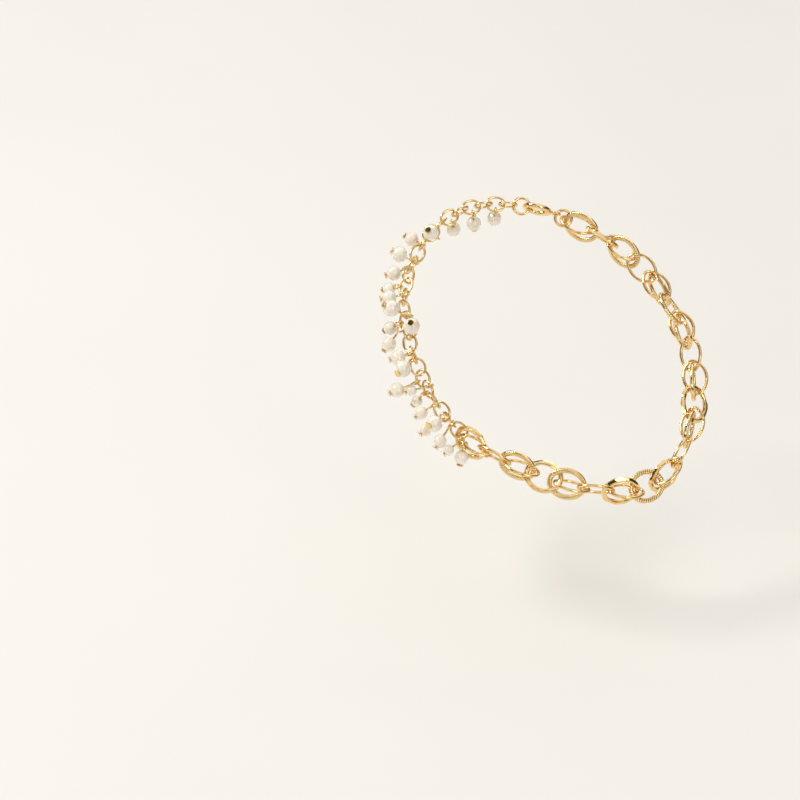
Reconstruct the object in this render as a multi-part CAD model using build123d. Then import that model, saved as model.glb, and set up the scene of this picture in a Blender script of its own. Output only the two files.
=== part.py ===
from build123d import *
import os
from math import atan2, cos, degrees, radians, sin
import numpy as np

# A chain anklet, closed round the ankle that it is worn on. Lengths are in millimetres.
# One half is a chunky chain of broad oval links paired with slim ones. The other half is a fine
# cable chain hung with pearls on head pins, and a spring ring at the far side closes the loop.
# Frame: the origin is the middle of the loop, +X is the heel, +Y the far side of the ankle, +Z up.

# ---- route of the chain round the ankle ----
ankle_depth = 81.0            # loop across, toe side to heel
ankle_width = 61.0            # loop across, side to side
tangent_step = 1.5            # degrees each way used for the direction of the chain
route_steps = 1440
route_heights = [             # degrees round from the heel, height of the chain
    (0, -17.0), (20, -8.2), (45, 3.7), (70, 13.0), (95, 20.5), (120, 25.0), (145, 26.0),
    (165, 22.5), (180, 17.5), (200, 11.0), (220, 3.5), (240, -6.0), (260, -13.2),
    (280, -17.1), (300, -19.8), (320, -22.0), (340, -22.4),
]

# ---- links ----
oval_length = 10.4
oval_width = 8.7
oval_band = 1.35              # width of the flat band
oval_thickness = 1.15
oval_edge = 0.3               # rounding along the band's edges
oval_tip = 3.25               # radius of the band's middle line at the ends
slim_length = 10.2
slim_width = 6.9
slim_wire = 0.86
slim_tip = 1.6
cable_length = 5.4
cable_width = 4.4
cable_wire = 0.66
cable_tip = 1.75

# ---- pearls on head pins ----
pin_wire = 0.54
eye_radius = 1.05             # middle of the wire, round the link
pin_head_diameter = 1.8
pin_head_thickness = 0.35
pin_head_gap = 0.08
pearl_hole = 0.76
pearl_gap = 0.1               # between the eye and the pearl
eye_play = 0.08               # between the eye and the link that it hangs on

# ---- clasp ----
spring_ring_radius = 3.35     # middle of the tube
spring_ring_tube = 1.45
clasp_eye_radius = 1.15
clasp_eye_wire = 0.7
jump_ring_radius = 2.2
jump_ring_wire = 0.8

# ---- the chunky chain: a pattern of twelve links, repeated round the heel ----
chunky_start = 185.5          # distance along the route from the heel
chunky_period = 55.9
chunky_count = 32
# place, kind, roll, turn, pitch, across, out
chunky_pattern = [
    (-0.2, "oval", -6, 5, 0, -0.8, 0.0),
    (0.2, "slim", -100, 0, 3, 0.0, 0.3),
    (6.8, "slim", 38, -3, 0, 0.8, 0.3),
    (13.3, "oval", -6, 0, 0, 0.3, 0.0),
    (14.2, "slim", 72, 0, -2, 0.7, 0.2),
    (20.3, "oval", -40, 0, 12, 0.1, 0.0),
    (27.7, "oval", -4, 0, 2, -0.2, 0.0),
    (28.7, "slim", -88, 3, 3, -0.5, 0.4),
    (35.2, "slim", 40, 6, 2, 0.1, 0.2),
    (41.8, "oval", -10, -4, 0, -1.2, 0.5),
    (42.8, "slim", 70, 0, -2, -0.3, 0.3),
    (48.9, "oval", -40, 20, -2, 0.0, 0.0),
]

# ---- the cable chain: links a fixed distance apart, each rolled about the chain's line ----
cable_start = 180.4
cable_pitch = 3.42
cable_slack_links = 19        # links at that pitch, before the tighter-drawn far stretch
cable_far_pitch = 3.33
cable_rolls = [
    -42, 42, -40, 44, -10, -32, -74, 30, -50, 42, -38, 50, -20,
    -68, 35, -45, 48, -30, 55, -40, 45, -35, 50, -42, 40, -44,
]
cable_stretches = 5

# ---- the closure, between the last cable link and the last chunky pair ----
cable_jump_ring_place = 91.75
spring_ring_place = 87.5
clasp_jump_ring_place = 80.7
clasp_roll = -47
jump_ring_roll = 43

# ---- slack in the chain: links pushed apart, moving and turning, until a gap is left ----
link_gap = 0.1
ease_rounds = 150
ease_reach = 5                # links on along the chain that a link is kept clear of
ease_near = 11.0              # centres further apart than this can't touch
ease_inertia = 12.0           # how much a link resists turning, against moving
ease_done = 0.004             # shortfall that needs no more easing

# ---- the drops: one pearl on one head pin ----
# link: cable link counted from the chunky chain, or -1 for the first slim link.
# spot: degrees round that link. swing: degrees that the pin falls below straight out from the
# ankle. lean: degrees along the chain. pearl: its diameter. stem: bare wire up to the pearl.
drops = [
    # link, spot, swing, lean, pearl, stem
    (-1, 210, 45, -15, 2.8, 1.0),
    (-1, 240, 75, 15, 3.8, 0.0),
    (1, 135, 30, 0, 3.2, 3.0),
    (1, 90, -15, 0, 4.4, 2.0),
    (1, 45, 45, 15, 3.6, 2.0),
    (3, 45, 30, 0, 3.4, 1.0),
    (4, 90, 30, -15, 2.8, 2.0),
    (4, 270, 75, 0, 3.0, 1.0),
    (5, 270, 15, 0, 4.0, 2.0),
    (7, 90, 15, 0, 4.0, 0.0),
    (7, 45, -15, 30, 4.4, 1.0),
    (8, 135, -75, 0, 4.4, 3.0),
    (10, 315, 45, 30, 4.0, 2.0),
    (10, 270, 45, 0, 3.6, 0.0),
    (10, 90, -30, -15, 4.4, 2.0),
    (12, 90, 0, 15, 4.0, 1.0),
    (13, 270, 30, 0, 3.4, 0.0),
    (15, 315, 0, 30, 4.0, 0.0),
    (15, 90, -30, 0, 4.2, 1.0),
    (17, 270, -15, 0, 3.8, 0.0),
    (18, 270, -105, 15, 4.2, 1.0),
    (20, 270, 60, 0, 4.0, 0.0),
    (22, 270, 75, 0, 4.0, 0.0),
    (24, 270, 60, 0, 4.0, 0.0),
]
drop_stretches = 4
single_pearls = 6             # pearls in a node of their own: those of the first stretch


def height_at(angle):
    """Height of the chain at an angle round the ankle, smooth through the given heights."""
    count = len(route_heights)
    angle = angle % 360
    k = max(i for i in range(count) if route_heights[i][0] <= angle + 1e-9)
    x = [route_heights[i % count][0] + 360 * (i // count) for i in range(k - 1, k + 3)]
    z = [route_heights[i % count][1] for i in range(k - 1, k + 3)]
    slope_in = (z[2] - z[0]) / (x[2] - x[0])
    slope_out = (z[3] - z[1]) / (x[3] - x[1])
    span = x[2] - x[1]
    t = (angle - x[1]) / span
    return (
        (2 * t**3 - 3 * t**2 + 1) * z[1]
        + (t**3 - 2 * t**2 + t) * span * slope_in
        + (-2 * t**3 + 3 * t**2) * z[2]
        + (t**3 - t**2) * span * slope_out
    )


def route_point(angle):
    a = radians(angle)
    return np.array([ankle_depth / 2 * cos(a), ankle_width / 2 * sin(a), height_at(angle)])


route_angles = np.linspace(0, 360, route_steps + 1)
route_points = np.array([route_point(a) for a in route_angles])
route_lengths = np.concatenate(
    [[0], np.cumsum(np.linalg.norm(np.diff(route_points, axis=0), axis=1))]
)
loop_length = route_lengths[-1]


def unit(v):
    return v / np.linalg.norm(v)


def route_frame(place):
    """Point on the route, direction of the chain, direction up its band, direction outwards."""
    angle = np.interp(place % loop_length, route_lengths, route_angles)
    along = unit(route_point(angle + tangent_step) - route_point(angle - tangent_step))
    a = radians(angle)
    out = np.array([cos(a) / ankle_depth, sin(a) / ankle_width, 0])
    out = unit(out - (out @ along) * along)
    return route_point(angle), along, np.cross(out, along), out


def turned(axis, angle):
    """Matrix of a turn about one axis, 0 for X, 1 for Y, 2 for Z."""
    c, s = cos(radians(angle)), sin(radians(angle))
    m = np.eye(3)
    i, j = (axis + 1) % 3, (axis + 2) % 3
    m[i, i], m[i, j], m[j, i], m[j, j] = c, -s, s, c
    return m


def seat(kind, place, roll, turn=0, pitch=0, across=0.0, out=0.0):
    """One link on the route: its kind, place, turned axes and centre."""
    point, along, up, outwards = route_frame(place)
    base = np.column_stack([along, up, outwards])
    return {
        "kind": kind,
        "place": place,
        "axes": base @ turned(0, roll) @ turned(1, pitch) @ turned(2, turn),
        "centre": point + across * up + out * outwards,
    }


# ---- outlines ----
def oval_arcs(length, width, tip):
    """Four arcs of an oval as centre, radius, start and sweep: small at the ends, large along."""
    a, b = length / 2, width / 2
    side = ((a - tip) ** 2 + b**2 - tip**2) / (2 * (b - tip))
    half = degrees(atan2(side - b, a - tip))
    return [
        ((a - tip, 0), tip, -half, 2 * half),
        ((0, b - side), side, half, 180 - 2 * half),
        ((tip - a, 0), tip, 180 - half, 2 * half),
        ((0, side - b), side, 180 + half, 180 - 2 * half),
    ]


def oval_wire(length, width, tip):
    return Wire([CenterArc(*arc) for arc in oval_arcs(length, width, tip)])


def oval_samples(length, width, tip, per_arc=36):
    points = []
    for centre, radius, start, sweep_angle in oval_arcs(length, width, tip):
        for k in range(per_arc):
            a = radians(start + sweep_angle * k / per_arc)
            points.append((centre[0] + radius * cos(a), centre[1] + radius * sin(a), 0))
    return np.array(points)


band_reach = oval_edge + np.hypot(oval_band / 2 - oval_edge, oval_thickness / 2 - oval_edge)
link_sizes = {                # middle line: length, width, end radius; then the stock's reach
    "oval": (oval_length - oval_band, oval_width - oval_band, oval_tip, band_reach),
    "slim": (slim_length - slim_wire, slim_width - slim_wire, slim_tip, slim_wire / 2),
    "cable": (cable_length - cable_wire, cable_width - cable_wire, cable_tip, cable_wire / 2),
    "jump": (2 * jump_ring_radius, 2 * jump_ring_radius, jump_ring_radius, jump_ring_wire / 2),
    "spring": (
        2 * spring_ring_radius, 2 * spring_ring_radius, spring_ring_radius, spring_ring_tube / 2,
    ),
}


def round_samples(radius, count=144):
    turn = np.linspace(0, 2 * np.pi, count, endpoint=False)
    return np.column_stack([radius * np.cos(turn), radius * np.sin(turn), np.zeros(count)])


link_lines = {kind: oval_samples(*link_sizes[kind][:3]) for kind in ("oval", "slim", "cable")}
link_lines["jump"] = round_samples(jump_ring_radius)
link_lines["spring"] = round_samples(spring_ring_radius)


def middle_line(link):
    return link_lines[link["kind"]] @ link["axes"].T + link["centre"]


def turn_about(axis):
    """Matrix of a turn about an axis, by the axis's length in radians."""
    angle = np.linalg.norm(axis)
    if angle < 1e-12:
        return np.eye(3)
    x, y, z = axis / angle
    cross = np.array([[0, -z, y], [z, 0, -x], [-y, x, 0]])
    return np.eye(3) + sin(angle) * cross + (1 - cos(angle)) * cross @ cross


def nearest(a, b):
    """Nearest points of the middle lines of two links."""
    pa, pb = middle_line(a), middle_line(b)
    squares = ((pa[:, None] - pb[None]) ** 2).sum(axis=2)
    ia, ib = np.unravel_index(squares.argmin(), squares.shape)
    return pa[ia], pb[ib]


def ease_apart(chain):
    """Pushes neighbouring links apart until each pair has the gap between its wires."""
    for _ in range(ease_rounds):
        worst = 0
        for i, a in enumerate(chain):
            for b in chain[i + 1 : i + 1 + ease_reach]:
                if np.linalg.norm(a["centre"] - b["centre"]) > ease_near:
                    continue
                on_a, on_b = nearest(a, b)
                least = np.linalg.norm(on_a - on_b)
                short = link_gap + link_sizes[a["kind"]][3] + link_sizes[b["kind"]][3] - least
                if short <= 0:
                    continue
                worst = max(worst, short)
                away = (on_a - on_b) / least
                turn_a = np.cross(on_a - a["centre"], away)
                turn_b = np.cross(on_b - b["centre"], away)
                push = short / (2 + (turn_a @ turn_a + turn_b @ turn_b) / ease_inertia)
                for link, way, turn in ((a, push, turn_a), (b, -push, turn_b)):
                    link["centre"] = link["centre"] + way * away
                    link["axes"] = turn_about(way * turn / ease_inertia) @ link["axes"]
        if worst < ease_done:
            return


# ---- solids, each made once about its own centre ----
def oval_link():
    outer = oval_wire(oval_length, oval_width, oval_tip + oval_band / 2)
    inner = oval_wire(
        oval_length - 2 * oval_band, oval_width - 2 * oval_band, oval_tip - oval_band / 2
    )
    band = extrude(make_face(outer) - make_face(inner), amount=oval_thickness / 2, both=True)
    return fillet(band.edges(), oval_edge)


def wire_link(length, width, wire, tip):
    path = oval_wire(length - wire, width - wire, tip)
    section = Plane(origin=path @ 0, z_dir=path % 0) * Circle(wire / 2)
    return sweep(section, path=path)


def head_pin(pearl_size, stem):
    """Eye at the origin in the XY plane, then the wire along +X to its flat head."""
    head_at = head_place(pearl_size, stem)
    along_x = Plane.YZ
    eye = Torus(eye_radius, pin_wire / 2)
    shank = along_x.offset(eye_radius) * Cylinder(
        pin_wire / 2, head_at - eye_radius + pin_head_thickness / 2,
        align=(Align.CENTER, Align.CENTER, Align.MIN),
    )
    head = along_x.offset(head_at) * Cylinder(
        pin_head_diameter / 2, pin_head_thickness,
        align=(Align.CENTER, Align.CENTER, Align.MIN),
    )
    return eye + shank + head


def pearl_place(pearl_size, stem):
    return eye_radius + pin_wire / 2 + pearl_gap + stem + pearl_size / 2


def head_place(pearl_size, stem):
    return pearl_place(pearl_size, stem) + pearl_size / 2 + pin_head_gap


def pearl(pearl_size, stem):
    centre = Pos(pearl_place(pearl_size, stem), 0, 0)
    bore = Rot(0, 90, 0) * Cylinder(pearl_hole / 2, pearl_size + 1)
    return centre * (Sphere(pearl_size / 2) - bore)


def spring_ring():
    """The ring in the XY plane, with its eye on the side of -X."""
    eye_out = spring_ring_radius + spring_ring_tube / 2 + clasp_eye_radius - 0.1
    ring = Torus(spring_ring_radius, spring_ring_tube / 2)
    return ring + Pos(-eye_out, 0, 0) * Torus(clasp_eye_radius, clasp_eye_wire / 2)


def location_of(axes, centre):
    return Plane(
        origin=tuple(map(float, centre)),
        x_dir=tuple(map(float, axes[:, 0])),
        z_dir=tuple(map(float, axes[:, 2])),
    ).location


def drop_axes(link, spot, swing, lean):
    """Where the drop's eye hangs on its link, and the drop's own axes."""
    line, stock = link_lines[link["kind"]], link_sizes[link["kind"]][3]
    angles = np.degrees(np.arctan2(line[:, 1], line[:, 0])) % 360
    k = int(np.argmin(np.abs((angles - spot + 180) % 360 - 180)))
    wire_way = link["axes"] @ unit(line[(k + 1) % len(line)] - line[k - 1])
    _, along, up, out = route_frame(link["place"])
    falls = cos(radians(swing)) * out - sin(radians(swing)) * up
    down = cos(radians(lean)) * falls + sin(radians(lean)) * along
    eye_axis = unit(wire_way - (wire_way @ down) * down)
    hang = link["centre"] + link["axes"] @ line[k]
    hang = hang + down * (eye_radius - pin_wire / 2 - stock - eye_play)
    return np.column_stack([down, np.cross(eye_axis, down), eye_axis]), hang


def cable_place(n):
    far = max(0, n - cable_slack_links)
    return cable_start - cable_pitch * (n - far) - cable_far_pitch * far


def build():
    chunky = [
        seat(kind, chunky_start + place + chunky_period * repeat, roll, turn, pitch, across, out)
        for repeat in range(3)
        for place, kind, roll, turn, pitch, across, out in chunky_pattern
    ][:chunky_count]
    cable = [seat("cable", cable_place(n), roll) for n, roll in enumerate(cable_rolls)]
    clasp = [
        seat("jump", cable_jump_ring_place, jump_ring_roll),
        seat("spring", spring_ring_place, clasp_roll),
        seat("jump", clasp_jump_ring_place, jump_ring_roll),
    ]
    ease_apart(clasp[:1] + cable[::-1] + chunky + clasp[2:])

    solids = {
        "oval": oval_link(),
        "slim": wire_link(slim_length, slim_width, slim_wire, slim_tip),
        "cable": wire_link(cable_length, cable_width, cable_wire, cable_tip),
        "jump": Torus(jump_ring_radius, jump_ring_wire / 2),
        "spring": spring_ring(),
    }

    def solid_of(link):
        return location_of(link["axes"], link["centre"]) * solids[link["kind"]]

    nodes = {}
    counts = {"oval": 0, "slim": 0}
    for link in chunky:
        counts[link["kind"]] += 1
        nodes[f"{link['kind']}_link_{counts[link['kind']]:02d}"] = [solid_of(link)]
    for n, link in enumerate(cable):
        stretch = n * cable_stretches // len(cable) + 1
        nodes.setdefault(f"cable_chain_{stretch}", []).append(solid_of(link))
    nodes["jump_ring_1"] = [solid_of(clasp[0])]
    nodes["clasp"] = [solid_of(clasp[1])]
    nodes["jump_ring_2"] = [solid_of(clasp[2])]
    for n, (link, spot, swing, lean, pearl_size, stem) in enumerate(drops):
        carrier = chunky[1] if link < 0 else cable[link]
        where = location_of(*drop_axes(carrier, spot, swing, lean))
        stretch = n * drop_stretches // len(drops) + 1
        nodes.setdefault(f"head_pins_{stretch}", []).append(where * head_pin(pearl_size, stem))
        if n < single_pearls:
            name = f"pearl_{n + 1}"
        else:
            name = f"pearls_{stretch - 1}"
        nodes.setdefault(name, []).append(where * pearl(pearl_size, stem))
    return nodes


def plain_solid(shape):
    """The one solid of a shape, without the sketch or compound round it."""
    found = shape.solids()
    if len(found) != 1:
        raise ValueError(f"expected one solid, found {len(found)}")
    return found[0]


os.makedirs("parts", exist_ok=True)
for name, shapes in build().items():
    pieces = [plain_solid(shape) for shape in shapes]
    whole = pieces[0] if len(pieces) == 1 else Compound(children=pieces)
    export_step(whole, f"parts/{name}.step")
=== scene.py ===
import math
import bpy
import numpy as np
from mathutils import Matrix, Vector


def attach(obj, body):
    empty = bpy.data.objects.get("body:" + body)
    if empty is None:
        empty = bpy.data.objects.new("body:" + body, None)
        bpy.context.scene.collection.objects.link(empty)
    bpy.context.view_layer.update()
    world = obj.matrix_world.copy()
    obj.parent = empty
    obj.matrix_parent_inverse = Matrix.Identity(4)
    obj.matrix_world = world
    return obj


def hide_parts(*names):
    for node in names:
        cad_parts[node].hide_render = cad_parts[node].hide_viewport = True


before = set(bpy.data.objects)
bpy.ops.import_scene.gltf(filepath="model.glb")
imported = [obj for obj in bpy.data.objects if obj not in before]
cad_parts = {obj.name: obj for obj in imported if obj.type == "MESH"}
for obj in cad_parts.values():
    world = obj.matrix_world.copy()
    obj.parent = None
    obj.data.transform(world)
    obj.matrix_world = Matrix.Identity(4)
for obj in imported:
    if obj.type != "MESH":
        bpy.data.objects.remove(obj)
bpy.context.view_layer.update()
mm = 0.001          # one millimetre in the frame's metres
weldSteps = 1e4     # points that agree to this many steps in a millimetre are one point
print("frame loaded,", len(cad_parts), "nodes")


def nodesNamed(start):
    return sorted(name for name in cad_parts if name.startswith(start))


def nodeTriangles(node):
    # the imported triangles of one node, in millimetres
    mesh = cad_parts[node].data
    mesh.calc_loop_triangles()
    points = np.empty(len(mesh.vertices) * 3)
    mesh.vertices.foreach_get("co", points)
    corners = np.empty(len(mesh.loop_triangles) * 3, dtype=np.int64)
    mesh.loop_triangles.foreach_get("vertices", corners)
    return points.reshape(-1, 3)[corners.reshape(-1, 3)] / mm


def looseSolids(node):
    # splits a node's triangles into its separate solids
    triangles = nodeTriangles(node)
    keys = np.round(triangles.reshape(-1, 3) * weldSteps).astype(np.int64)
    ids = np.unique(keys, axis=0, return_inverse=True)[1].reshape(-1, 3)
    label = np.arange(ids.max() + 1)
    while True:
        lowest = label[ids].min(axis=1)
        joined = label.copy()
        for corner in range(3):
            np.minimum.at(joined, ids[:, corner], lowest)
        joined = joined[joined]
        if (joined == label).all():
            break
        label = joined
    group = label[ids[:, 0]]
    return [triangles[group == g] for g in np.unique(group)]


def howItLies(triangles):
    # centre, long, wide and thin axes of a solid, from its surface
    crossed = np.cross(triangles[:, 1] - triangles[:, 0], triangles[:, 2] - triangles[:, 0])
    area = np.linalg.norm(crossed, axis=1)
    middles = triangles.mean(axis=1)
    centre = (middles * area[:, None]).sum(axis=0) / area.sum()
    spread = middles - centre
    axes = np.linalg.eigh((spread * area[:, None]).T @ spread)[1]
    return centre, axes[:, 2], axes[:, 1], axes[:, 0]


def reach(triangles, centre, axis):
    along = (triangles - centre) @ axis
    return along.min(), along.max()


def linkPlace(triangles):
    # a link's centre, its axes with the thin one turned outwards, its length and its width
    centre, long, wide, thin = howItLies(triangles)
    outwards = np.array([centre[0], centre[1], 0.0])
    if thin @ outwards < 0:
        thin = -thin
    onward = np.array([-centre[1], centre[0], 0.0])
    if long @ onward < 0:
        long = -long
    low, high = reach(triangles, centre, long)
    wide = np.cross(thin, long)
    lowWide, highWide = reach(triangles, centre, wide)
    return centre, np.column_stack([long, wide, thin]), high - low, highWide - lowWide


# shells are built in millimetres; makePiece brings them to metres
def ringFaces(rows, columns, closed=True):
    # quads of a grid that wraps round its columns, and round its rows too if closed
    row = np.arange(rows if closed else rows - 1)[:, None]
    column = np.arange(columns)[None]
    nextRow = (row + 1) % rows
    nextColumn = (column + 1) % columns
    quads = np.stack(
        [row * columns + column, nextRow * columns + column,
         nextRow * columns + nextColumn, row * columns + nextColumn], axis=-1)
    return quads.reshape(-1, 4)


def capFaces(rows, columns, points):
    # closes both ends of an open tube with a fan round a middle point
    first = np.arange(columns)
    last = first + (rows - 1) * columns
    middles = np.array([points[first].mean(axis=0), points[last].mean(axis=0)])
    count = len(points)
    fans = [(first, np.roll(first, -1), count), (np.roll(last, -1), last, count + 1)]
    faces = []
    for left, right, tip in fans:
        tips = np.full(columns, tip)
        faces.append(np.stack([left, right, tips, tips], axis=-1))
    return np.vstack([points, middles]), np.concatenate(faces)


def makePiece(name, shells, material, nodesReplaced, crisp=None):
    # one object from several shells of (points in mm, quads, amounts of painted shade)
    points, quads, paintedShade, start = [], [], [], 0
    for shellPoints, shellQuads, shellPaintedShade in shells:
        points.append(shellPoints)
        quads.append(shellQuads + start)
        paintedShade.append(np.zeros(len(shellPoints)) if shellPaintedShade is None else shellPaintedShade)
        start += len(shellPoints)
    points, quads, paintedShade = np.vstack(points) * mm, np.vstack(quads), np.concatenate(paintedShade)
    mesh = bpy.data.meshes.new(name)
    faces = [tuple(dict.fromkeys(quad)) for quad in quads.tolist()]    # a fan's quad names its tip twice
    mesh.from_pydata(points.tolist(), [], faces)
    mesh.polygons.foreach_set("use_smooth", np.full(len(faces), True))
    # the amounts of painted shade reach the material through the groove attribute
    attribute = mesh.attributes.new("groove", "FLOAT", "POINT")
    attribute.data.foreach_set("value", paintedShade)
    mesh.materials.append(material)
    mesh.update()
    if crisp is not None:
        mesh.set_sharp_from_angle(angle=math.radians(crisp))
    piece = bpy.data.objects.new(name, mesh)
    bpy.context.scene.collection.objects.link(piece)
    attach(piece, "root")
    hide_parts(*nodesReplaced)
    return piece


def facingOut(points, quads):
    # turns the quads over if the closed shell is inside out
    corner = points[quads]
    volume = np.einsum("ij,ij->i", corner[:, 0], np.cross(corner[:, 1], corner[:, 2])).sum()
    volume += np.einsum("ij,ij->i", corner[:, 0], np.cross(corner[:, 2], corner[:, 3])).sum()
    return quads if volume > 0 else quads[:, ::-1][:, [1, 2, 3, 0]]


def closedTube(points, rows, columns):
    # an open tube of rings with both its ends capped
    quads = ringFaces(rows, columns, closed=False)
    points, caps = capFaces(rows, columns, points)
    return points, facingOut(points, np.vstack([quads, caps]))


def settle(points, axes, centre):
    return points @ axes.T + centre


def ovalPath(length, width, endRadius, count):
    # middle line of an oval link, evenly spaced, with the way out of the oval at each point
    halfLong, halfWide = length / 2, width / 2
    sideRadius = (halfLong - endRadius) ** 2 + halfWide ** 2 - endRadius ** 2
    sideRadius /= 2 * (halfWide - endRadius)
    join = math.atan2(sideRadius - halfWide, halfLong - endRadius)
    sides = math.pi - 2 * join
    centres = np.array([(halfLong - endRadius, 0), (0, halfWide - sideRadius),
                        (endRadius - halfLong, 0), (0, sideRadius - halfWide)])
    radii = np.array([endRadius, sideRadius, endRadius, sideRadius])
    starts = np.array([-join, join, math.pi - join, math.pi + join])
    sweeps = np.array([2 * join, sides, 2 * join, sides])
    ends = np.cumsum(radii * sweeps)
    along = np.arange(count) / count * ends[-1]
    arc = np.searchsorted(ends, along, side="right")
    angle = starts[arc] + sweeps[arc] * (1 - (ends[arc] - along) / (radii * sweeps)[arc])
    out = np.column_stack([np.cos(angle), np.sin(angle), np.zeros(count)])
    points = out * radii[arc, None]
    points[:, :2] += centres[arc]
    return points, out, ends[-1]


def roundPath(radius, count):
    angle = np.arange(count) / count * 2 * math.pi
    out = np.column_stack([np.cos(angle), np.sin(angle), np.zeros(count)])
    return out * radius, out, 2 * math.pi * radius


def bandSection(width, thickness, edge, perCorner):
    # rounded rectangle as (outwards, across) points
    corners = [(1, 1, 0), (-1, 1, 90), (-1, -1, 180), (1, -1, 270)]
    section = []
    for sideways, across, start in corners:
        for k in range(perCorner + 1):
            a = math.radians(start + 90 * k / perCorner)
            section.append((sideways * (width / 2 - edge) + edge * math.cos(a),
                            across * (thickness / 2 - edge) + edge * math.sin(a)))
        # one point in the middle of the flat that follows
        nextSide = corners[(corners.index((sideways, across, start)) + 1) % 4]
        a = math.radians(start + 90)
        middle = ((sideways + nextSide[0]) / 2 * (width / 2 - edge) + edge * math.cos(a),
                  (across + nextSide[1]) / 2 * (thickness / 2 - edge) + edge * math.sin(a))
        section.append(middle)
    return np.array(section)


def sweepRound(path, out, section):
    # carries a section round a closed flat path; section may differ from point to point
    section = np.broadcast_to(section, (len(path),) + section.shape[-2:])
    points = path[:, None] + out[:, None] * section[..., 0:1]
    points[..., 2] += section[..., 1]
    return points


def wireSection(radius, count):
    a = np.arange(count) / count * 2 * math.pi
    return np.column_stack([radius * np.cos(a), radius * np.sin(a)])


def turnedShape(profile, count):
    # lathe round the X axis: profile of (x, radius), joined end to end
    a = np.arange(count) / count * 2 * math.pi
    profile = np.array(profile)
    points = np.stack(
        [np.broadcast_to(profile[:, None, 0], (len(profile), count)),
         profile[:, None, 1] * np.cos(a), profile[:, None, 1] * np.sin(a)], axis=-1)
    return points


def newMaterial(name):
    material = bpy.data.materials.new(name)
    material.use_nodes = True
    tree = material.node_tree
    tree.nodes.clear()
    output = tree.nodes.new("ShaderNodeOutputMaterial")
    shader = tree.nodes.new("ShaderNodeBsdfPrincipled")
    tree.links.new(shader.outputs["BSDF"], output.inputs["Surface"])
    return material, tree, shader


def noiseOver(tree, scale, detail=2.0, roughness=0.5, stretch=(1, 1, 1)):
    where = tree.nodes.new("ShaderNodeTexCoord")
    mapping = tree.nodes.new("ShaderNodeMapping")
    mapping.inputs["Scale"].default_value = stretch
    noise = tree.nodes.new("ShaderNodeTexNoise")
    noise.inputs["Scale"].default_value = scale
    noise.inputs["Detail"].default_value = detail
    noise.inputs["Roughness"].default_value = roughness
    tree.links.new(where.outputs["Object"], mapping.inputs["Vector"])
    tree.links.new(mapping.outputs["Vector"], noise.inputs["Vector"])
    return noise.outputs["Fac"]


def rampOver(tree, fac, stops):
    ramp = tree.nodes.new("ShaderNodeValToRGB")
    while len(ramp.color_ramp.elements) < len(stops):
        ramp.color_ramp.elements.new(0.5)
    for element, (place, colour) in zip(ramp.color_ramp.elements, stops):
        element.position = place
        element.color = (*colour, 1)
    tree.links.new(fac, ramp.inputs["Fac"])
    return ramp.outputs["Color"]


def rangeOver(tree, fac, low, high):
    spread = tree.nodes.new("ShaderNodeMapRange")
    spread.inputs["To Min"].default_value = low
    spread.inputs["To Max"].default_value = high
    tree.links.new(fac, spread.inputs["Value"])
    return spread.outputs["Result"]


def bumpOver(tree, height, strength, distance, normal=None):
    bump = tree.nodes.new("ShaderNodeBump")
    bump.inputs["Strength"].default_value = strength
    bump.inputs["Distance"].default_value = distance
    tree.links.new(height, bump.inputs["Height"])
    if normal is not None:
        tree.links.new(normal, bump.inputs["Normal"])
    return bump.outputs["Normal"]


def mixOver(tree, fac, first, second):
    mix = tree.nodes.new("ShaderNodeMix")
    mix.data_type = "RGBA"
    tree.links.new(fac, mix.inputs["Factor"])
    for value, socket in ((first, mix.inputs[6]), (second, mix.inputs[7])):
        if isinstance(value, tuple):
            socket.default_value = (*value, 1)
        else:
            tree.links.new(value, socket)
    return mix.outputs[2]


# gold plate; a "Size" is a noise's scale, finer as it grows, and heights are in metres
goldFinish = {
    "paleGold": (0.93, 0.71, 0.37),
    "deepGold": (0.86, 0.59, 0.26),
    "paintedGrooveShade": (0.36, 0.17, 0.03),   # painted shade: dark amber for the bottoms of the cuts
    "toneSize": 420,
    "toneStops": (0.35, 0.65),
    "roughLow": 0.05,
    "roughHigh": 0.16,
    "roughSize": 900,
    "ripple": 0.10,                     # strength of the soft unevenness of the plating
    "rippleSize": 700,
    "rippleHeight": 0.00005,
    "scratches": 0.05,
    "scratchSize": 9000,
    "scratchHeight": 0.00001,
    "scratchStretch": (1, 0.25, 1),
}
# ridged ovals are paler, painted light as a lighter copy of the same gold, so that their many small
# grooves don't darken them
ridgedPaintedLightFinish = goldFinish | {"paleGold": (0.98, 0.78, 0.43), "deepGold": (0.95, 0.69, 0.33)}
# the fine wire of the cable links and pins is a little deeper: painted shade, a darker copy of the same
# gold
finePaintedShadeFinish = goldFinish | {"paleGold": (0.90, 0.69, 0.36), "deepGold": (0.81, 0.56, 0.25)}


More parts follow.
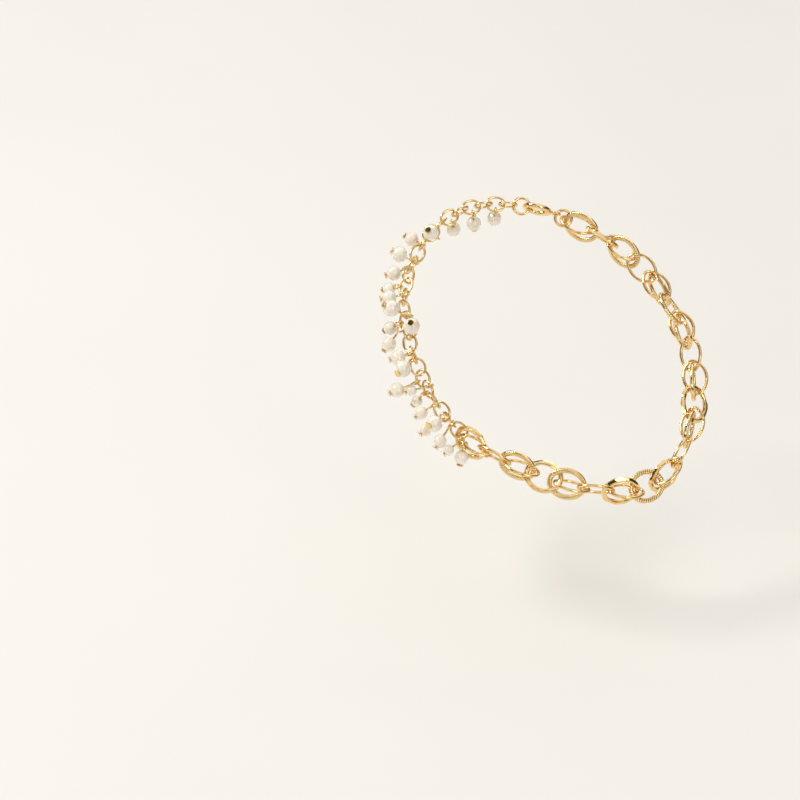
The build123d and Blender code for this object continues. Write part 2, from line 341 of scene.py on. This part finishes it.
def makeGold(name, finish, roughScale=1.0):
    material, tree, shader = newMaterial(name)
    deepAt, paleAt = finish["toneStops"]
    tone = rampOver(tree, noiseOver(tree, finish["toneSize"], detail=3.0),
                    [(deepAt, finish["deepGold"]), (paleAt, finish["paleGold"])])
    # painted shade: the gold is darkened towards dark amber wherever the groove attribute is set, in
    # grooves, seams and gate lines
    groove = tree.nodes.new("ShaderNodeAttribute")
    groove.attribute_name = "groove"
    colour = mixOver(tree, groove.outputs["Fac"], tone, finish["paintedGrooveShade"])
    tree.links.new(colour, shader.inputs["Base Color"])
    shader.inputs["Metallic"].default_value = 1.0
    rough = rangeOver(tree, noiseOver(tree, finish["roughSize"], detail=4.0, roughness=0.6),
                      finish["roughLow"] * roughScale, finish["roughHigh"] * roughScale)
    tree.links.new(rough, shader.inputs["Roughness"])
    waves = noiseOver(tree, finish["rippleSize"], detail=1.0)
    ripple = bumpOver(tree, waves, finish["ripple"], finish["rippleHeight"])
    lines = noiseOver(tree, finish["scratchSize"], detail=3.0, roughness=0.6,
                      stretch=finish["scratchStretch"])
    fine = bumpOver(tree, lines, finish["scratches"], finish["scratchHeight"], ripple)
    tree.links.new(fine, shader.inputs["Normal"])
    return material


pearlFinish = {
    "cream": (0.97, 0.83, 0.69),
    "white": (0.99, 0.92, 0.84),
    "toneSize": 330,
    "toneStops": (0.3, 0.7),
    "roughLow": 0.16,
    "roughHigh": 0.32,
    "roughSize": 1300,
    "coat": 1.0,
    "coatRough": 0.05,
    "coatIor": 1.65,
    "inside": 0.6,                      # share of the light that spreads inside
    "insideReach": (1.0, 0.7, 0.45),    # red light reaches furthest
    "insideDepth": 0.0006,
    "sheen": 0.15,
    "dents": 0.09,
    "dentSize": 1100,
    "dentDepth": 0.00006,
}


def makePearl(name, finish):
    material, tree, shader = newMaterial(name)
    creamAt, whiteAt = finish["toneStops"]
    tone = rampOver(tree, noiseOver(tree, finish["toneSize"], detail=3.0, roughness=0.55),
                    [(creamAt, finish["cream"]), (whiteAt, finish["white"])])
    tree.links.new(tone, shader.inputs["Base Color"])
    rough = rangeOver(tree, noiseOver(tree, finish["roughSize"], detail=3.0),
                      finish["roughLow"], finish["roughHigh"])
    tree.links.new(rough, shader.inputs["Roughness"])
    shader.inputs["Coat Weight"].default_value = finish["coat"]
    shader.inputs["Coat Roughness"].default_value = finish["coatRough"]
    shader.inputs["Coat IOR"].default_value = finish["coatIor"]
    shader.inputs["Subsurface Weight"].default_value = finish["inside"]
    shader.inputs["Subsurface Radius"].default_value = finish["insideReach"]
    shader.inputs["Subsurface Scale"].default_value = finish["insideDepth"]
    shader.inputs["Sheen Weight"].default_value = finish["sheen"]
    dents = noiseOver(tree, finish["dentSize"], detail=2.0)
    dents = bumpOver(tree, dents, finish["dents"], finish["dentDepth"])
    tree.links.new(dents, shader.inputs["Normal"])
    return material


goldPolished = makeGold("goldPolished", goldFinish)
goldWire = makeGold("goldWire", goldFinish, roughScale=1.25)          # slim links and jump rings
goldRidgedPaintedLight = makeGold("goldRidgedPaintedLight", ridgedPaintedLightFinish, roughScale=1.2)
goldFinePaintedShade = makeGold("goldFinePaintedShade", finePaintedShadeFinish, roughScale=1.25)          # cable links and head pins
pearlCoat = makePearl("pearlCoat", pearlFinish)
print("materials made")


# oval links: every other one is diamond cut, the rest have coin-edge faces
ovalLink = {
    "band": 1.35,
    "thickness": 1.15,
    "endRadius": 3.25,
    "edge": 0.48,               # rounding of the band's corners
    "perCorner": 5,
    "around": 320,              # mesh points round a diamond-cut link
    "cuts": 11,                 # flat cuts on each shoulder
    "cutWander": 0.22,          # how far a cut strays from its even place, in cuts
    "cutTilt": (20, 66),        # degrees from straight out towards the face
    "cutLean": 0.07,            # how much a cut leans along the band
    "cutDepth": (0.12, 0.25),
    "crisp": 14,                # degrees between two flats that make a hard edge
}
ridgedLink = {
    "ridges": 44,
    "perRidge": 9,              # mesh points along one ridge
    "depth": 0.12,
    "slant": 0.75,              # ridges crossed from the inner to the outer edge
    "fadeIn": (0.3, 0.85),      # from the middle of the side (0) to the face (1)
    "crown": 0.55,              # below 1 the ridges are round and the grooves narrow
    "grooveShade": 0.9,
}


def diamondCut(points, path, out, seed):
    # planes that shave the rounded shoulders into bright flats of differing length
    luck = np.random.default_rng(seed)
    edge = ovalLink["edge"]
    flatHalf, sideHalf = ovalLink["band"] / 2 - edge, ovalLink["thickness"] / 2 - edge
    wander, lean = ovalLink["cutWander"], ovalLink["cutLean"]
    for face in (1, -1):
        phase = luck.uniform(0, 1)
        for k in range(ovalLink["cuts"]):
            place = (k + phase + luck.uniform(-wander, wander)) / ovalLink["cuts"]
            i = int(place * len(path)) % len(path)
            tilt = math.radians(luck.uniform(*ovalLink["cutTilt"]))
            up = np.array([0.0, 0.0, face])
            onward = np.cross([0, 0, 1], out[i]) * luck.uniform(-lean, lean)
            normal = out[i] * math.cos(tilt) + up * math.sin(tilt) + onward
            normal /= np.linalg.norm(normal)
            shoulder = path[i] + out[i] * flatHalf + up * sideHalf + normal * edge
            above = (points - shoulder) @ normal + luck.uniform(*ovalLink["cutDepth"])
            points = points - np.maximum(above, 0)[..., None] * normal
    return points


def coinEdge(points, section, along):
    # rounded ridges across the front and back faces; the inner and outer sides stay smooth
    thickness, band = ovalLink["thickness"], ovalLink["band"]
    start, full = ridgedLink["fadeIn"]
    onFace = np.clip((np.abs(section[:, 1]) / (thickness / 2) - start) / (full - start), 0, 1)
    onFace = onFace * onFace * (3 - 2 * onFace)
    turn = ridgedLink["ridges"] * along[:, None] + ridgedLink["slant"] * section[None, :, 0] / band
    groove = (1 - np.abs(np.sin(math.pi * turn)) ** ridgedLink["crown"]) * onFace
    points = points.copy()
    points[..., 2] -= np.sign(section[:, 1]) * ridgedLink["depth"] * groove
    return points, groove


def ovalShell(triangles, ridged, seed):
    centre, axes, length, width = linkPlace(triangles)
    band = ovalLink["band"]
    around = ridgedLink["ridges"] * ridgedLink["perRidge"] if ridged else ovalLink["around"]
    path, out, _ = ovalPath(length - band, width - band, ovalLink["endRadius"], around)
    section = bandSection(band, ovalLink["thickness"], ovalLink["edge"], ovalLink["perCorner"])
    points = sweepRound(path, out, section)
    paintedShade = None
    if ridged:
        points, groove = coinEdge(points, section, np.arange(around) / around)
        # painted shade along the grooves between the ridges
        paintedShade = (groove * ridgedLink["grooveShade"]).reshape(-1)
    else:
        points = diamondCut(points, path, out, seed)
    points = points.reshape(-1, 3)
    quads = facingOut(points, ringFaces(around, len(section)))
    return settle(points, axes, centre), quads, paintedShade


for number, node in enumerate(nodesNamed("oval_link_"), start=1):
    ridged = number % 2 == 0
    shell = ovalShell(nodeTriangles(node), ridged, number)
    if ridged:
        makePiece(node + "_coin_edge", [shell], goldRidgedPaintedLight, [node])
    else:
        makePiece(node + "_diamond_cut", [shell], goldPolished, [node], ovalLink["crisp"])
print("oval links made")


# wire links: slim links, cable links and jump rings
wireLink = {
    "slim": {"wire": 0.86, "endRadius": 1.6, "around": 150, "section": 20,
             "seam": 0.05, "seamWide": 0.16},
    "cable": {"wire": 0.66, "endRadius": 1.75, "around": 110, "section": 16,
              "seam": 0.30, "seamWide": 0.05},
    "jump": {"wire": 0.80, "around": 110, "section": 18, "seam": 0.30, "seamWide": 0.05},
    "seamShade": 0.6,
}
upperSide, lowerSide = 0.25, 0.75   # where a link's joint lies, in turns from its tip


def seamed(along, total, seamAt, deep, wide):
    # how much thinner the wire is near its joint, from 0 to deep
    gap = np.abs((along - seamAt + 0.5) % 1 - 0.5) * total
    return deep * np.exp(-((gap / wide) ** 2))


def wireShell(triangles, kind, seamAt):
    centre, axes, length, width = linkPlace(triangles)
    shape = wireLink[kind]
    wire = shape["wire"]
    if kind == "jump":
        path, out, total = roundPath((length - wire) / 2, shape["around"])
    else:
        path, out, total = ovalPath(length - wire, width - wire, shape["endRadius"], shape["around"])
    thinner = seamed(np.arange(len(path)) / len(path), total, seamAt, shape["seam"], shape["seamWide"])
    section = wireSection(wire / 2, shape["section"])[None] * (1 - thinner)[:, None, None]
    points = sweepRound(path, out, section).reshape(-1, 3)
    quads = facingOut(points, ringFaces(len(path), shape["section"]))
    # painted shade in the thinned neck at each link's joint
    paintedShade = np.repeat(thinner / shape["seam"], shape["section"]) * wireLink["seamShade"]
    return settle(points, axes, centre), quads, paintedShade


for number, node in enumerate(nodesNamed("slim_link_"), start=1):
    shell = wireShell(nodeTriangles(node), "slim", upperSide if number % 2 else lowerSide)
    makePiece(node + "_wire", [shell], goldWire, [node])
for node in nodesNamed("jump_ring_"):
    makePiece(node + "_wire", [wireShell(nodeTriangles(node), "jump", upperSide)], goldWire, [node])
for node in nodesNamed("cable_chain_"):
    shells = [wireShell(solid, "cable", lowerSide if k % 2 else upperSide)
              for k, solid in enumerate(looseSolids(node))]
    makePiece(node + "_links", shells, goldFinePaintedShade, [node])
print("slim links, jump rings and cable chain made")


# clasp: a plain spring ring with its eye
springRing = {
    "radius": 3.35,
    "tube": 1.45,
    "around": 200,
    "section": 28,
    "gateEnds": (0.36, 0.62),   # places round the ring where the gate meets the body
    "gateThinner": 0.09,
    "gateLine": 0.08,           # depth of the line at each end of the gate
    "gateLineWide": 0.07,
    "gateShade": 6,
    "eyeRadius": 1.15,
    "eyeWire": 0.7,
    "eyeAround": 80,
    "eyeSection": 16,
}


def claspShells(node):
    triangles = nodeTriangles(node)
    centre, long, wide, thin = howItLies(triangles)
    low, high = reach(triangles, centre, long)
    if high < -low:     # the eye is on the far side from the middle
        long, low, high = -long, -high, -low
    axes = np.column_stack([long, np.cross(thin, long), thin])
    ringOut = springRing["radius"] + springRing["tube"] / 2
    ringCentre = centre + long * (low + ringOut)
    path, out, total = roundPath(springRing["radius"], springRing["around"])
    along = np.arange(len(path)) / len(path)
    start, end = springRing["gateEnds"]
    thinner = np.where((along > start) & (along < end), springRing["gateThinner"], 0.0)
    line, lineWide = springRing["gateLine"], springRing["gateLineWide"]
    for place in (start, end):
        thinner = thinner + seamed(along, total, place, line, lineWide)
    section = wireSection(springRing["tube"] / 2, springRing["section"])
    section = section[None] * (1 - thinner)[:, None, None]
    ring = sweepRound(path, out, section).reshape(-1, 3)
    ringQuads = facingOut(ring, ringFaces(len(path), springRing["section"]))
    # painted shade in the lines at each end of the gate
    lines = np.clip(thinner - springRing["gateThinner"], 0, 1) * springRing["gateShade"]
    ringPaintedShade = np.repeat(lines, springRing["section"])
    eyeAround, eyeSection = springRing["eyeAround"], springRing["eyeSection"]
    eyePath, eyeOut, _ = roundPath(springRing["eyeRadius"], eyeAround)
    eyeWire = wireSection(springRing["eyeWire"] / 2, eyeSection)
    eye = sweepRound(eyePath, eyeOut, eyeWire).reshape(-1, 3)
    eyeQuads = facingOut(eye, ringFaces(eyeAround, eyeSection))
    eye[:, 0] += high - low - ringOut - springRing["eyeRadius"] - springRing["eyeWire"] / 2
    return [(settle(ring, axes, ringCentre), ringQuads, ringPaintedShade),
            (settle(eye, axes, ringCentre), eyeQuads, None)]


makePiece("clasp_spring_ring", claspShells("clasp"), goldPolished, ["clasp"])
print("clasp made")


# drops: a pearl on a head pin with a turned eye
headPin = {
    "wire": 0.54,
    "eyeRadius": 1.05,
    "eyeOpens": 16,             # degrees from the shank where the eye's end stops
    "eyeLeaves": 34,            # degrees from the shank where the wire leaves the eye
    "eyeSteps": 60,
    "bendPull": (0.16, -0.24),  # from there to the point that pulls the bend
    "bendSteps": 9,
    "neck": 0.62,               # below the eye, where the wire runs straight again
    "shankSteps": 8,
    "intoHead": 0.1,            # how far the shank goes into the head
    "section": 12,
    "headDiameter": 1.8,
    "headThickness": 0.35,
    "headEdge": 0.12,
    "headCorner": 5,
    "headAround": 28,
    "headDome": 0.005,
    "headTip": 0.02,            # radius of the middle that a cap closes
    "rimBand": 0.05,            # points this near the widest place are on the head's rim
}
pearlBead = {
    "hole": 0.76,
    "rim": 0.07,                # rounding at the mouth of the hole
    "rimShare": 0.3,            # how much of it the slope takes
    "rings": 30,
    "around": 44,
    "uneven": 0.012,            # of the radius
    "swells": 5,
    "swellTurn": 1.3,           # waves in a millimetre, in radians
    "swellShift": (0, 6),
    "alongCounts": 0.1,         # to find its pin, distance along the pin counts less than beside it
}


def pinPlace(triangles):
    # eye centre and axes of a head pin: X down the shank, Z through the eye
    centre, down, _, eyeAxis = howItLies(triangles)
    offAxis = np.abs((triangles - centre) @ eyeAxis)
    widest = triangles.reshape(-1, 3)[offAxis.reshape(-1) > offAxis.max() - headPin["rimBand"]]
    if ((widest - centre) @ down).mean() < 0:
        down = -down
    low, high = reach(triangles, centre, down)
    eyeOut = headPin["eyeRadius"] + headPin["wire"] / 2
    eyeCentre = centre + down * (low + eyeOut)
    return eyeCentre, np.column_stack([down, np.cross(eyeAxis, down), eyeAxis]), high - low - eyeOut


def pinShells(triangles):
    eyeCentre, axes, headEnd = pinPlace(triangles)
    radius, half = headPin["eyeRadius"], headPin["wire"] / 2
    headStart = headEnd - headPin["headThickness"]
    opens, leaves = headPin["eyeOpens"], headPin["eyeLeaves"]
    turn = np.radians(np.linspace(360 - opens, leaves, headPin["eyeSteps"]))
    eye = np.column_stack([radius * np.cos(turn), radius * np.sin(turn)])
    # from the eye's last point the wire bends into the shank
    bend = np.linspace(0, 1, headPin["bendSteps"])[1:, None]
    into = eye[-1] + np.array(headPin["bendPull"])
    neck = np.array([radius + headPin["neck"], 0.0])
    curve = (1 - bend) ** 2 * eye[-1] + 2 * bend * (1 - bend) * into + bend ** 2 * neck
    down = np.linspace(neck[0], headStart + headPin["intoHead"], headPin["shankSteps"])[1:]
    shank = np.column_stack([down, np.zeros(len(down))])
    flat = np.vstack([eye, curve, shank])
    way = np.gradient(flat, axis=0)
    way /= np.linalg.norm(way, axis=1)[:, None]
    path = np.column_stack([flat, np.zeros(len(flat))])
    out = np.column_stack([way[:, 1], -way[:, 0], np.zeros(len(flat))])
    points = sweepRound(path, out, wireSection(half, headPin["section"])).reshape(-1, 3)
    wirePoints, wireQuads = closedTube(points, len(path), headPin["section"])
    rim, edge, tip = headPin["headDiameter"] / 2, headPin["headEdge"], headPin["headTip"]
    corner = np.radians(np.linspace(0, 90, headPin["headCorner"]))
    flatRim = rim - edge
    profile = [(headStart, tip)]
    profile += [(headStart + edge - edge * math.cos(a), flatRim + edge * math.sin(a)) for a in corner]
    profile += [(headEnd - edge + edge * math.sin(a), flatRim + edge * math.cos(a)) for a in corner]
    profile += [(headEnd - headPin["headDome"], rim / 2), (headEnd, tip)]
    head = turnedShape(profile, headPin["headAround"]).reshape(-1, 3)
    headPoints, headQuads = closedTube(head, len(profile), headPin["headAround"])
    return [(settle(wirePoints, axes, eyeCentre), wireQuads, None),
            (settle(headPoints, axes, eyeCentre), headQuads, None)]


def pearlShell(triangles, pins, seed):
    points = triangles.reshape(-1, 3)
    centre = (points.max(axis=0) + points.min(axis=0)) / 2
    radius = (points.max(axis=0) - points.min(axis=0)).mean() / 2
    offPin = []
    for eye, axes, end in pins:
        toPearl, down = centre - eye, axes[:, 0]
        beside, along = np.linalg.norm(np.cross(toPearl, down)), abs(toPearl @ down - end)
        offPin.append(beside + along * pearlBead["alongCounts"])
    axes = pins[int(np.argmin(offPin))][1]
    hole, rim = pearlBead["hole"] / 2, pearlBead["rim"]
    mouth = math.asin((hole + rim) / radius)
    ball = np.linspace(mouth, math.pi - mouth, pearlBead["rings"])
    profile = [(-radius * math.cos(a), radius * math.sin(a)) for a in ball]
    lip, slope = radius * math.cos(mouth), pearlBead["rimShare"] * rim
    profile += [(lip - slope, hole + slope), (lip - rim, hole)]
    profile += [(-lip + rim, hole), (-lip + slope, hole + slope)]
    bead = turnedShape(profile, pearlBead["around"]).reshape(-1, 3)
    luck = np.random.default_rng(seed)
    swells, turn, shift = pearlBead["swells"], pearlBead["swellTurn"], pearlBead["swellShift"]
    ways = luck.normal(size=(swells, 3))
    swell = sum(np.sin(bead @ way * turn + luck.uniform(*shift)) for way in ways) / swells
    bead = bead * (1 - pearlBead["uneven"] * (0.5 + 0.5 * swell))[:, None]
    quads = facingOut(bead, ringFaces(len(profile), pearlBead["around"]))
    return settle(bead, axes, centre), quads, None


pins = []
for node in nodesNamed("head_pins_"):
    solids = looseSolids(node)
    pins += [pinPlace(solid) for solid in solids]
    shells = [shell for solid in solids for shell in pinShells(solid)]
    makePiece(node + "_wires", shells, goldFinePaintedShade, [node])
for number, node in enumerate(nodesNamed("pearl_"), start=1):
    makePiece(node + "_bead", [pearlShell(nodeTriangles(node), pins, number)], pearlCoat, [node])
for number, node in enumerate(nodesNamed("pearls_"), start=1):
    shells = [pearlShell(solid, pins, 10 * number + k) for k, solid in enumerate(looseSolids(node))]
    makePiece(node + "_beads", shells, pearlCoat, [node])
print("head pins and pearls made")


# floor, light and camera
studio = {
    "floorDrop": 0.058,         # the floor below the middle of the loop, in metres
    "floorSize": 8.0,
    "floorColour": (0.85, 0.83, 0.79),
    "floorShade": 0.97,         # the darker parts of the floor's faint clouding
    "floorCloudSize": 6,
    "floorCloudStops": (0.3, 0.7),
    "floorRough": 0.55,
    "skyTop": (1.35, 1.33, 1.29),
    "skySide": (0.085, 0.072, 0.055),
    "skyHeights": (0.38, 0.80),         # where the sides end and the top begins
    "skyFront": (0.04, 0.033, 0.026),   # a dark patch overhead that the gold mirrors
    "frontWay": (-0.16, -0.45, 0.88),
    "frontEdge": (0.915, 0.965),
    "skyStrength": 0.70,
}
# lamps: place and size in metres, power in watts, colour
lamps = {
    "keyAbove": ((-0.79, -0.32, 0.94), (0.5, 0.4), 8.8, (1.0, 0.98, 0.95)),
    "sideRight": ((0.9, -0.5, 0.5), (0.4, 0.7), 2.5, (1.0, 0.97, 0.93)),
    "frontLow": ((0.1, -1.15, 0.42), (0.9, 0.25), 1.6, (1.0, 0.97, 0.93)),
    "backGlow": ((-0.3, 1.4, 0.9), (1.6, 0.8), 5.0, (1.0, 0.99, 0.97)),
}


def makeFloor():
    size = studio["floorSize"] / 2
    z = -studio["floorDrop"]
    mesh = bpy.data.meshes.new("floor")
    corners = [(-size, -size, z), (size, -size, z), (size, size, z), (-size, size, z)]
    mesh.from_pydata(corners, [], [(0, 1, 2, 3)])
    material, tree, shader = newMaterial("paleFloor")
    dark = tuple(studio["floorShade"] * c for c in studio["floorColour"])
    clouds = noiseOver(tree, studio["floorCloudSize"], detail=3.0)
    darkAt, lightAt = studio["floorCloudStops"]
    tone = rampOver(tree, clouds, [(darkAt, dark), (lightAt, studio["floorColour"])])
    tree.links.new(tone, shader.inputs["Base Color"])
    shader.inputs["Roughness"].default_value = studio["floorRough"]
    mesh.materials.append(material)
    floor = bpy.data.objects.new("floor", mesh)
    bpy.context.scene.collection.objects.link(floor)


def makeSky():
    # a pale room, bright overhead and dark low down, with one dark patch above the front
    world = bpy.data.worlds.new("paleRoom")
    bpy.context.scene.world = world
    world.use_nodes = True
    tree = world.node_tree
    tree.nodes.clear()
    output = tree.nodes.new("ShaderNodeOutputWorld")
    background = tree.nodes.new("ShaderNodeBackground")
    where = tree.nodes.new("ShaderNodeTexCoord")
    split = tree.nodes.new("ShaderNodeSeparateXYZ")
    tree.links.new(where.outputs["Generated"], split.inputs["Vector"])
    sideEnds, topBegins = studio["skyHeights"]
    height = rampOver(tree, split.outputs["Z"],
                      [(sideEnds, studio["skySide"]), (topBegins, studio["skyTop"])])
    toward = tree.nodes.new("ShaderNodeVectorMath")
    toward.operation = "DOT_PRODUCT"
    toward.inputs[1].default_value = studio["frontWay"]
    tree.links.new(where.outputs["Generated"], toward.inputs[0])
    patch = rangeOver(tree, toward.outputs["Value"], 0.0, 1.0)
    edgeStarts, edgeEnds = studio["frontEdge"]
    patch.node.inputs["From Min"].default_value = edgeStarts
    patch.node.inputs["From Max"].default_value = edgeEnds
    colour = mixOver(tree, patch, height, studio["skyFront"])
    tree.links.new(colour, background.inputs["Color"])
    background.inputs["Strength"].default_value = studio["skyStrength"]
    tree.links.new(background.outputs["Background"], output.inputs["Surface"])


def softbox(name, place, size, power, colour):
    # a soft lamp that points at the middle of the loop
    light = bpy.data.lights.new(name, "AREA")
    light.shape = "RECTANGLE"
    light.size, light.size_y = size
    light.energy = power
    light.color = colour
    lamp = bpy.data.objects.new(name, light)
    lamp.location = place
    lamp.rotation_euler = (-Vector(place)).to_track_quat("-Z", "Y").to_euler()
    bpy.context.scene.collection.objects.link(lamp)


cameraSet = {
    "azimuth": 31.0,
    "elevation": 31.7,
    "distance": 0.838,
    "aim": (-0.03016, -0.02593, -0.01083),
    "lens": 143.3,
    "clipStart": 0.01,
}


def makeCamera():
    azimuth, elevation = math.radians(cameraSet["azimuth"]), math.radians(cameraSet["elevation"])
    level = math.cos(elevation)
    back = Vector((math.sin(azimuth) * level, -math.cos(azimuth) * level, math.sin(elevation)))
    camera = bpy.data.objects.new("camera", bpy.data.cameras.new("camera"))
    camera.data.lens = cameraSet["lens"]
    camera.data.clip_start = cameraSet["clipStart"]
    camera.location = Vector(cameraSet["aim"]) + back * cameraSet["distance"]
    camera.rotation_euler = (-back).to_track_quat("-Z", "Y").to_euler()
    bpy.context.scene.collection.objects.link(camera)
    bpy.context.scene.camera = camera


makeFloor()
makeSky()
for name, settings in lamps.items():
    softbox(name, *settings)
makeCamera()
bpy.context.scene.view_settings.view_transform = "Standard"
print("floor, light and camera made")
